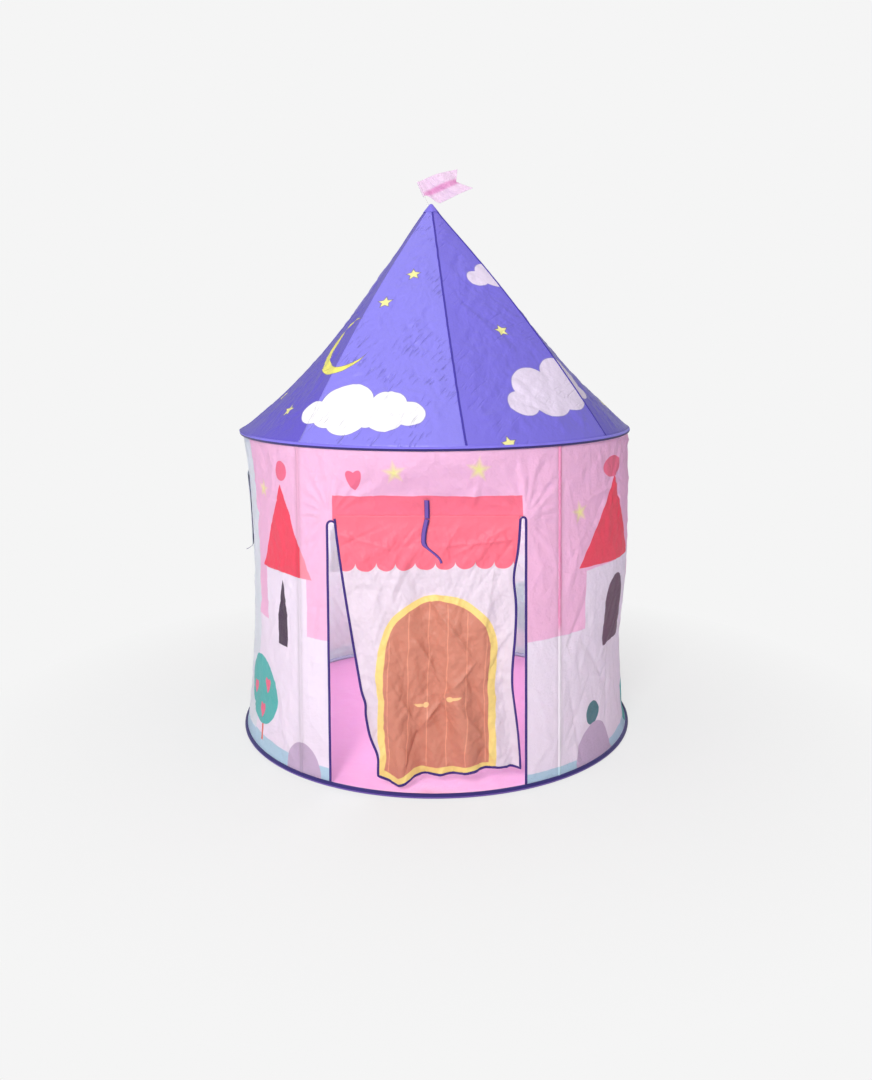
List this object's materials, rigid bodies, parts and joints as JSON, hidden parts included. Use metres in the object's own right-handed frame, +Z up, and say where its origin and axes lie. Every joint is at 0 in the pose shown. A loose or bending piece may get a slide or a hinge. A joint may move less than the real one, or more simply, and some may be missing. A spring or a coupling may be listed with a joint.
{
  "type": "children's play tent",
  "caption": "Round cloth play tent with a pointed roof on sprung hoops and rods, a hanging door flap, a netted side window under a cover, and a flag.",
  "frame": {"origin": "middle of the floor, on the ground", "axes": "+Z up, the doorway faces -Y, +X is to the right of someone who faces the doorway"},
  "size_m": [1.0204, 1.02, 1.4492],
  "materials": {
    "purple_tape": "woven edging tape",
    "violet_cloth": "printed polyester taffeta",
    "pink_cloth": "printed polyester taffeta",
    "pale_cloth": "printed polyester taffeta",
    "floor_cloth": "coated polyester",
    "flag_cloth": "polyester taffeta",
    "window_mesh": "knitted net",
    "fibreglass": "pultruded rod",
    "spring_steel": "flat drawn",
    "white_plastic": "moulded"
  },
  "bodies": {
    "tent": {"bottom_hoop": "spring_steel", "top_hoop": "spring_steel", "bottom_hoop_binding": "purple_tape", "top_hoop_binding": "purple_tape", "floor_sheet": "floor_cloth", "front_wall": "pink_cloth", "right_wall": "pale_cloth", "back_right_wall": "pale_cloth", "back_left_wall": "pale_cloth", "left_wall": "pale_cloth", "wall_pole_1": "fibreglass", "pole_pocket_1": "pale_cloth", "wall_pole_sleeve_1": "pale_cloth", "wall_pole_2": "fibreglass", "pole_pocket_2": "pale_cloth", "wall_pole_sleeve_2": "pale_cloth", "wall_pole_3": "fibreglass", "pole_pocket_3": "pale_cloth", "wall_pole_sleeve_3": "pale_cloth", "wall_pole_4": "fibreglass", "pole_pocket_4": "pale_cloth", "wall_pole_sleeve_4": "pale_cloth", "wall_pole_5": "fibreglass", "pole_pocket_5": "pale_cloth", "wall_pole_sleeve_5": "pale_cloth", "doorway_binding_left": "purple_tape", "doorway_binding_right": "purple_tape", "door_tie_outer_tab": "purple_tape", "door_tie_inner_tab": "purple_tape", "window_net": "window_mesh", "window_binding": "purple_tape", "roof_gore_1": "violet_cloth", "roof_gore_2": "violet_cloth", "roof_gore_3": "violet_cloth", "roof_gore_4": "violet_cloth", "roof_gore_5": "violet_cloth", "roof_gore_6": "violet_cloth", "roof_gore_7": "violet_cloth", "roof_gore_8": "violet_cloth", "roof_rod_1": "fibreglass", "roof_rod_sleeve_1": "violet_cloth", "roof_rod_2": "fibreglass", "roof_rod_sleeve_2": "violet_cloth", "roof_rod_3": "fibreglass", "roof_rod_sleeve_3": "violet_cloth", "roof_rod_4": "fibreglass", "roof_rod_sleeve_4": "violet_cloth", "apex_hub": "white_plastic", "apex_cap": "violet_cloth"},
    "door_flap": {"door_flap": "pale_cloth", "door_flap_binding": "purple_tape", "door_tie_outer": "purple_tape", "door_tie_inner": "purple_tape"},
    "window_cover": {"window_cover": "pale_cloth", "window_tie": "purple_tape"},
    "flag": {"flag": "flag_cloth", "flag_stick": "fibreglass"}
  },
  "joints": [
    {"name": "door_seam", "type": "hinge", "parent": "tent", "child": "door_flap", "pos_m": [0, -0.45427, 0.615], "axis": [1, 0, 0], "range_deg": [-90, 90]},
    {"name": "window_cover_seam", "type": "hinge", "parent": "tent", "child": "window_cover", "pos_m": [-0.4959, 0, 0.66199], "axis": [0, 1, 0], "range_deg": [0, 150]},
    {"name": "flag_turn", "type": "hinge", "parent": "tent", "child": "flag", "pos_m": [-0.006, 0, 1.3372], "axis": [-0.4019, 0, 0.9157], "continuous": true}
  ]
}
